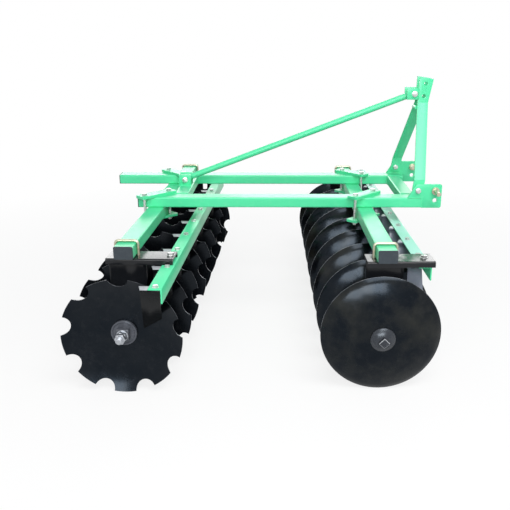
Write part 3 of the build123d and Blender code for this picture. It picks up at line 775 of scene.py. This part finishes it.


# Lit and shaded copies of one dark paint: the front grey is painted light on blades that face the
# sky, the rear black is painted shade.
scraper_paint = {
    "front": scraper_finish("scraper_grey", (0.19, 0.205, 0.265, 1), (0.25, 0.265, 0.30, 1), 0.4),
    "rear": scraper_finish("scraper_black", (0.004, 0.005, 0.006, 1), (0.014, 0.015, 0.017, 1),
                           0.08),
}
lit_top = Finish("chalky_enamel")
# The front bar's level top is mixed towards pale green as painted light from the sky; the noise
# makes it patchy.
level = level_at(lit_top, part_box("front_scraper_bar")[1].z)
patchy = lit_top.ease(lit_top.noise(12.0, 4.0, 0.6), 0.3, 0.7, 0.82, 1.0)
lit_top_paint = lit_top.coat_with(
    Base_Color=lit_top.mixed(level * patchy, (0.070, 0.655, 0.320, 1), (0.38, 0.72, 0.62, 1)),
    Roughness=0.34 + 0.10 * level,
    Normal=lit_top.bump(lit_top.noise(520.0, 1.0), 0.00025, 0.5),
)
bar_paint = {"front": lit_top_paint, "rear": green_paint}
bar_bend = 0.0012
blade_edge = 0.0010
disc_count = 9
disc_pitch = 0.230
# the bolts stand ahead of the bar's rear edge and go through its flange and the tab
tab_half = 0.021
through_both = 0.012
bolt_ahead = 0.026
arm_bolt_ahead = 0.027
for gang in ("front", "rear"):
    soften(f"{gang}_scraper_bar", bar_bend, bar_paint[gang])
    soften(f"{gang}_scrapers", blade_edge, scraper_paint[gang])
    stand = gang_frame(gang)
    bar_low, bar_high = along(gang, f"{gang}_scraper_bar")
    blade_low = along(gang, f"{gang}_scrapers")[0]
    heads, nuts = [], []
    for index in range(disc_count):
        x = bar_low.x + bolt_ahead
        y = blade_low.y + tab_half + index * disc_pitch
        heads.append((stand @ Vector((x, y, bar_high.z)), (0, 0, 1), 0.4 + index * 1.7))
        nuts.append((stand @ Vector((x, y, bar_high.z - through_both)), (0, 0, -1), 0.9 + index))
    arm_heads = [
        (stand @ Vector((bar_low.x + arm_bolt_ahead, hanger_y[gang, end], hanger_top[gang, end])),
         (0, 0, 1), 0.7)
        for end in ("open", "domed")
    ]
    arm_head = hex_piece(flats=0.024, height=0.009, washer_r=0.0155, washer_h=0.002)
    fasten(f"{gang}_arm_heads", arm_head, arm_heads, bright_zinc)
    bolt_up(f"{gang}_scraper", heads, nuts, washer_r=0.0125, rod_r=0.006, nut_h=0.009,
            flats=0.019, head_h=0.0075, washer_h=0.0015)

# Discs
# Each gang has nine dished discs of hardened steel, painted glossy black, with a
# sharpened rim. The rear ones are cut with nine round notches.
mirror = Finish("disc_gloss")
haze = mirror.noise(9.0, 5.0, 0.6)
streak = mirror.ease(mirror.noise(34.0, 6.0, 0.7), 0.5, 0.8)
rim_patchiness = mirror.ease(mirror.noise(18.0, 3.0, 0.6), 0.35, 0.65, 0.25, 1.0)
# The rim band is painted paler: partly bare steel at the sharpened edge, partly a painted
# reflection of the sky on its bevel.
rim = mirror.ease(mirror.node("ShaderNodeAttribute", {"attribute_name": "rim"}, {}, "Fac"),
                  0.88, 0.98) * rim_patchiness
ahead = mirror.node("ShaderNodeSeparateXYZ", {}, {0: mirror.place}, "X")
film = mirror.ease(mirror.noise(4.5, 5.0, 0.6), 0.42, 0.62) * mirror.ease(ahead, -0.3, 0.3)
dusty = mirror.mixed(film, (0.002, 0.0025, 0.0035, 1), (0.014, 0.0135, 0.0105, 1))
black = mirror.mixed(streak * 0.25, dusty, (0.030, 0.030, 0.030, 1))
disc_gloss = mirror.coat_with(
    Base_Color=mirror.mixed(rim * 0.8, black, (0.19, 0.20, 0.22, 1)),
    Roughness=0.12 + 0.12 * haze + 0.1 * streak + 0.15 * rim,
    Specular_IOR_Level=0.17,
    # The bluish specular tint paints a sky colour into the disc's reflections.
    Specular_Tint=(0.56, 0.76, 1, 1),
    Coat_Weight=0.34 * haze * haze,
    Coat_Roughness=0.12,
    Normal=mirror.bump(mirror.noise(300.0, 1.0), 0.0002, 0.35),
)

disc_r = 0.255
disc_thick = 0.005
disc_dish = 0.052
flat_r = 0.056
hole_r = 0.0215
rim_bevel = 0.012
rim_edge = 0.0015
notch_r = 0.043
notch_depth = 0.038
notch_count = 9


def disc_outline(notched):
    """(angle, radius) of the rim, with its notches, once round."""
    if not notched:
        columns = 160
        return [(column * 2 * pi / columns, disc_r) for column in range(columns)]
    notch_steps = 9
    rim_steps = 8
    centre = disc_r - notch_depth + notch_r
    open_cos = (centre ** 2 + notch_r ** 2 - disc_r ** 2) / (2 * centre * notch_r)
    open_turn = atan2(sqrt(1 - open_cos ** 2), open_cos)
    rim = []
    for notch in range(notch_count):
        middle = pi / 2 + notch * 2 * pi / notch_count
        for step in range(-notch_steps, notch_steps + 1):
            turn = open_turn * step / notch_steps
            x = centre - notch_r * cos(turn)
            y = notch_r * sin(turn)
            rim.append((middle + atan2(y, x), hypot(x, y)))
        start = rim[-1][0]
        stop = middle + 2 * pi / notch_count - (start - middle)
        for step in range(1, rim_steps):
            rim.append((start + (stop - start) * step / rim_steps, disc_r))
    return rim


def dished(radius):
    """Depth of the hollow face and of the back of a disc at a radius."""
    run = disc_r - flat_r
    bowl = (run ** 2 + disc_dish ** 2) / (2 * disc_dish)
    across = max(radius - flat_r, 0)
    hollow = sqrt(bowl ** 2 - across ** 2) - bowl
    last = disc_r - rim_bevel
    back = sqrt((bowl + disc_thick) ** 2 - min(across, last - flat_r) ** 2) - bowl
    if radius > last:
        back += (rim_edge - disc_dish - back) * (radius - last) / rim_bevel
    return hollow, back


def disc_stock(notched):
    """One disc about Y, hollow towards -Y, with its hub plane at Y = 0."""
    rows = 13
    rim_gap = 0.0008
    outline = disc_outline(notched)
    corners = []
    for turn, edge in outline:
        last = min(disc_r - rim_bevel, edge - rim_gap)
        radii = [hole_r, flat_r] + [flat_r + (last - flat_r) * row / rows
                                    for row in range(1, rows + 1)] + [edge]
        front = [(radius, dished(radius)[0]) for radius in radii]
        back = [(radius, dished(radius)[1]) for radius in reversed(radii)]
        for radius, depth in front + back:
            corners.append((radius * cos(turn), depth, radius * sin(turn)))
    ring = 2 * (rows + 3)
    faces = []
    for column in range(len(outline)):
        a = column * ring
        b = (column + 1) % len(outline) * ring
        for row in range(ring):
            after = (row + 1) % ring
            faces.append([a + row, a + after, b + after, b + row])
    mesh = bpy.data.meshes.new("disc_stock")
    mesh.from_pydata(corners, [], faces)
    # Marks the rim rows for the paler band: bare edge and painted reflection.
    paler = mesh.attributes.new("rim", "FLOAT", "POINT")
    for index in range(len(corners)):
        paler.data[index].value = 1.0 if index % ring in (rows + 2, rows + 3) else 0.0
    return put("disc_stock", mesh)


# quarter turns at which the notched discs went onto the square axle, from the open end
disc_quarters = (0, 0, 1, 0, 1, 1, 1, 0, 2)
for gang in ("front", "rear"):
    first = along(gang, f"{gang}_discs")[0].y + disc_dish
    rows = [((0, first + index * disc_pitch, axle_z), (0, quarters * pi / 2, 0))
            for index, quarters in enumerate(disc_quarters)]
    discs = set_at(f"{gang}_disc_row", disc_stock(gang == "rear"), rows, disc_gloss,
                   f"{gang}_gang", gang_frame(gang))
    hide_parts(f"{gang}_discs")

# Spools and axles
# Cast spools hold the discs apart on a square axle. Two spools of each gang carry a
# ground journal. A nut and a lock nut draw the stack against a domed washer.


def cast_finish(name, deep, pale):
    """Black paint on a casting, paler where its attribute rim is high: partly rubbed bare, partly
    a painted edge highlight.
    """
    ends = Finish(name)
    rim = ends.node("ShaderNodeAttribute", {"attribute_name": "rim"}, {}, "Fac")
    # Chamfers marked by rim go pale grey: rubbed wear and a painted edge highlight.
    wear_and_highlight = ends.ease(rim, 0.5, 0.8)
    cast = ends.noise(160.0, 4.0, 0.6)
    sand = ends.ease(ends.noise(24.0, 5.0, 0.7), 0.5, 0.8)
    return ends.coat_with(
        Base_Color=ends.mixed(
            wear_and_highlight * 0.8, ends.mixed(sand * 0.5, deep, pale), (0.42, 0.43, 0.45, 1)),
        Roughness=0.24 + 0.16 * sand,
        Specular_IOR_Level=0.42,
        # The bluish specular tint paints a sky colour into the casting's reflections.
        Specular_Tint=(0.80, 0.90, 1, 1),
        Normal=ends.bump(cast, 0.0004, 0.5),
    )


end_black = cast_finish("end_black", (0.022, 0.024, 0.029, 1), (0.06, 0.062, 0.068, 1))
washer_black = cast_finish("washer_black", (0.066, 0.070, 0.083, 1), (0.11, 0.115, 0.13, 1))


def square_bar(name, rings, round_off, matrix, finish, body):
    """A square bar about Z from (half side, height, pale edge) rings, its long edges rounded; the
    pale edge marks chamfer rings for rubbed wear and a painted edge highlight.
    """
    corners, paler = [], []
    for half_side, height, bare_and_sheen in rings:
        inner = half_side - round_off
        for quarter in range(4):
            middle = (quarter + 0.5) * pi / 2
            for step in (0, 0.5, 1):
                turn = (quarter + step) * pi / 2
                corners.append((
                    inner * sqrt(2) * cos(middle) + round_off * cos(turn),
                    inner * sqrt(2) * sin(middle) + round_off * sin(turn), height))
                paler.append(bare_and_sheen)
    faces = stacked(len(rings), len(corners) // len(rings))
    piece = new_piece(name, corners, faces, finish, body, matrix)
    bare_and_sheen = piece.data.attributes.new("rim", "FLOAT", "POINT")
    bare_and_sheen.data.foreach_set("value", paler)
    return piece


eased = 0.001
washer_thick = 0.014
washer_r = 0.055
washer_rim = 0.0065
rim_round = 0.0015
face_sunk = 0.004
boss_half = 0.026
boss_round = 0.004
nut_flats = 0.041
nut_len = 0.021
nut_washer_h = 0.003
nut_washer_r = 0.0245
lock_len = 0.017
lock_washer_r = 0.0185
lock_washer_h = 0.001
lock_pitch = 0.003
thread_r = 0.0135
spool_end_r = 0.049
spool_waist_r = 0.027
spool_lip = 0.008
spool_flare = 0.034
lip_round = 0.002
waist_round = 0.003
waist_ease = 0.004
journal_r = 0.035
journal_len = 0.066
cap_r = 0.053
cap_rim = 0.006
cap_rise = 0.022
cap_round = 0.0006
cap_steps = 12
bowl_inset = 0.0008
axle_half = 0.015
axle_round = 0.002
head_half = 0.0165
head_len = 0.016
axle_roll = {"front": pi / 4, "rear": 0.0}


def spool_line(start, stop, journal):
    """(radius, height) points of a spool, with its journal's middle or None."""
    waist = spool_waist_r if journal is None else journal_r
    up_lip = start + spool_lip
    up_waist = up_lip + spool_flare
    down_lip = stop - spool_lip
    down_waist = down_lip - spool_flare
    line = [
        (0.0, start), (spool_end_r - eased, start), (spool_end_r, start + eased),
        (spool_end_r, up_lip - lip_round), (spool_end_r - lip_round, up_lip + eased),
        (waist + waist_round, up_waist - waist_ease), (waist, up_waist + eased),
    ]
    if journal is None:
        line += [(waist, down_waist - eased), (waist + waist_round, down_waist + waist_ease)]
    else:
        low = journal - journal_len / 2
        high = journal + journal_len / 2
        line = [point for point in line if point[1] < low]
        line += [(journal_r, low), (journal_r, high)]
        if down_waist > high + spool_flare:
            line += [(spool_waist_r, high + spool_lip), (spool_waist_r, down_waist)]
    return line + [
        (spool_end_r - lip_round, down_lip - eased), (spool_end_r, down_lip + lip_round),
        (spool_end_r, stop - eased), (spool_end_r - eased, stop), (0.0, stop),
    ]


for gang in ("front", "rear"):
    body = f"{gang}_gang"
    stand = gang_frame(gang)
    washer_low, washer_high = along(gang, f"{gang}_end_washer")
    axle_low, axle_high = along(gang, f"{gang}_axle")
    dome_foot = along(gang, f"{gang}_end_dome")[0].y
    # heights along an outward axis at the open end, and along the axle at the other
    roll = Matrix.Rotation(axle_roll[gang], 4, "Z")
    outward = stand @ Matrix.Translation((0, washer_high.y, axle_z)) @ Matrix.Rotation(
        pi / 2, 4, "X") @ roll
    inward = stand @ Matrix.Translation((0, 0, axle_z)) @ Matrix.Rotation(-pi / 2, 4, "X") @ roll
    washer_line = [
        (0.0, 0.0), (washer_r - eased, 0.0), (washer_r, eased),
        (washer_r, washer_thick - rim_round), (washer_r - rim_round, washer_thick),
        (washer_r - washer_rim, washer_thick), (washer_r - 0.008, washer_thick - 0.0012),
        (washer_r - 0.010, washer_thick - 0.0035), (0.0, washer_thick - face_sunk),
    ]
    washer = lathe(
        f"{gang}_end_washer_shown", washer_line, outward, washer_black, body)
    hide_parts(f"{gang}_end_washer")
    boss_top = washer_high.y - washer_low.y
    # The chamfer rings carry the pale edge: rubbed wear and a painted edge highlight.
    boss_rings = [
        (boss_half, washer_thick - 0.005, 0), (boss_half, boss_top - 0.004, 0),
        (boss_half - 0.0004, boss_top - 0.003, 0.58), (boss_half - 0.003, boss_top, 0.5),
        (boss_half - 0.0045, boss_top, 0),
    ]
    square_bar(f"{gang}_end_boss", boss_rings, boss_round, outward, washer_black, body)
    nut = set_at(f"{gang}_axle_nut_shown",
                 hex_piece(nut_flats, nut_len, nut_washer_r, nut_washer_h),
                 [((0, 0, boss_top), (0, 0, 0.2))], dull_zinc, body, outward)
    lock_at = boss_top + nut_washer_h + nut_len
    tip = washer_high.y - axle_low.y
    rod_out = tip - lock_at - lock_len - lock_washer_h
    lock_nut = hex_piece(
        nut_flats, lock_len, lock_washer_r, lock_washer_h, thread_r, rod_out, lock_pitch)
    set_at(f"{gang}_lock_nut", lock_nut, [((0, 0, lock_at), (0, 0, 0.5))],
           dull_zinc, body, outward)
    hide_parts(f"{gang}_axle_nuts")
    head_top = axle_high.y
    # The head's chamfer rings carry the pale edge: rubbed wear and a painted edge highlight.
    axle_rings = [
        (axle_half, washer_low.y + eased, 0), (axle_half, head_top - head_len, 0),
        (head_half, head_top - head_len, 0), (head_half, head_top - 0.003, 0),
        (head_half - 0.0002, head_top - 0.0022, 1), (head_half - 0.0018, head_top, 1),
        (head_half - 0.0032, head_top, 0),
    ]
    axle = square_bar(f"{gang}_axle_shown", axle_rings, axle_round, inward, end_black, body)
    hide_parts(f"{gang}_axle")
    bowl = (cap_r ** 2 + cap_rise ** 2) / (2 * cap_rise)
    dome_line = [(0.0, dome_foot), (cap_r - cap_round, dome_foot), (cap_r, dome_foot + cap_round),
                 (cap_r, dome_foot + cap_rim - eased)]
    for step in range(cap_steps + 1):
        reach = (cap_r - bowl_inset) * cos(step * pi / (2 * cap_steps))
        height = dome_foot + cap_rim + sqrt(bowl ** 2 - reach ** 2) - bowl + cap_rise
        dome_line.append((reach if step < cap_steps else 0.0, height))
    dome = lathe(f"{gang}_dome_shown", dome_line, inward, end_black, body)
    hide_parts(f"{gang}_end_dome")
    for index in range(disc_count - 1):
        start = washer_high.y + index * disc_pitch + disc_thick
        stop = washer_high.y + (index + 1) * disc_pitch
        held = [hanger_y[gang, end] for end in ("open", "domed")
                if start < hanger_y[gang, end] < stop]
        line = spool_line(start, stop, held[0] if held else None)
        spool = lathe(
            f"{gang}_spool_{index}", line, inward, end_black, body, steps=40)
        if index == 0:
            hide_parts(f"{gang}_spools")

# Floor and light
# A plain pale floor that whitens further out, five soft rectangular lamps and a pale
# surround. Light that bounces up comes off a dimmer floor.
paper = Finish("pale_floor")
plain = paper.node("ShaderNodeBsdfDiffuse", {}, {"Color": (0.80, 0.80, 0.80, 1)})
dim = paper.node("ShaderNodeBsdfDiffuse", {}, {"Color": (0.50, 0.50, 0.50, 1)})
clear = paper.node("ShaderNodeEmission", {}, {"Color": (1, 1, 1, 1), "Strength": 1.0})


def in_view(maker):
    """1 on rays from the camera, also by way of a reflection or through glass."""
    seen = maker.node("ShaderNodeLightPath", {}, {}, "Is Camera Ray")
    glossy = maker.node("ShaderNodeLightPath", {}, {}, "Is Glossy Ray")
    through = maker.node("ShaderNodeLightPath", {}, {}, "Is Transmission Ray")
    return seen + glossy + through


away = paper.node("ShaderNodeVectorMath", {"operation": "LENGTH"}, {0: paper.place}, "Value")
blank = paper.ease(away, 1.4, 3.4, 0.8, 1.0)
shown = paper.node("ShaderNodeMixShader", {}, {0: blank, 1: plain, 2: clear})
both = paper.node("ShaderNodeMixShader", {}, {0: in_view(paper), 1: dim, 2: shown})
paper.node("ShaderNodeOutputMaterial", {}, {"Surface": both})
floor_half = 60.0
mesh = bpy.data.meshes.new("floor")
mesh.from_pydata([
    (-floor_half, -floor_half, 0), (floor_half, -floor_half, 0),
    (floor_half, floor_half, 0), (-floor_half, floor_half, 0),
], [], [(0, 1, 2, 3)])
mesh.materials.append(paper.material)
floor = put("floor", mesh)

world = bpy.data.worlds.new("pale_room")
bpy.context.scene.world = world
world.use_nodes = True
world.node_tree.nodes.clear()
room = Maker(world.node_tree)
soft = room.node("ShaderNodeBackground", {}, {"Color": (0.96, 0.98, 1, 1), "Strength": 0.28})
white = room.node("ShaderNodeBackground", {}, {"Color": (1, 1, 1, 1), "Strength": 1.0})
both = room.node("ShaderNodeMixShader", {}, {0: in_view(room), 1: soft, 2: white})
room.node("ShaderNodeOutputWorld", {}, {"Surface": both})


def softbox(name, place, aim_z, width, height, power):
    """A large rectangular lamp that faces a point above the origin."""
    lamp = bpy.data.lights.new(name, "AREA")
    lamp.shape = "RECTANGLE"
    lamp.size = width
    lamp.size_y = height
    lamp.energy = power
    box = put(name, lamp)
    box.location = place
    facing = Vector((0.0, 0.0, aim_z)) - Vector(place)
    box.rotation_euler = facing.to_track_quat("-Z", "Y").to_euler()
    box.visible_camera = False


softbox("front", (0.5, -6.0, 3.2), 0.5, 6.0, 3.0, 8)
softbox("front_right", (0.6, -5.9, 2.9), 0.5, 2.3, 1.5, 128)
softbox("front_left", (-1.35, -5.8, 2.3), 0.5, 1.7, 1.4, 76)
softbox("overhead", (1.3, -3.2, 5.2), 0.6, 4.4, 2.6, 250)
softbox("behind", (0.3, 6.5, 2.7), 0.5, 9.0, 2.4, 230)

# Camera
# It stands to the machine's right at about head height and looks slightly down.
eye = (0.047, -3.500, 1.472)
pitch = radians(18.32)
roll = radians(-0.23)
yaw = radians(-0.63)
view = bpy.data.cameras.new("camera")
view.sensor_width = 36
view.lens = 47.88
view.shift_x = -0.0592
view.shift_y = -0.0041
camera = put("camera", view)
turn_z = Matrix.Rotation(yaw, 3, "Z")
right = turn_z @ Vector((1, 0, 0))
ahead = turn_z @ Vector((0, cos(pitch), -sin(pitch)))
down = turn_z @ Vector((0, -sin(pitch), -cos(pitch)))
across = cos(roll) * right + sin(roll) * down
below = cos(roll) * down - sin(roll) * right
facing = Matrix((across, -below, -ahead)).transposed().to_4x4()
camera.matrix_world = Matrix.Translation(eye) @ facing
bpy.context.scene.camera = camera
bpy.context.scene.view_settings.view_transform = "Standard"
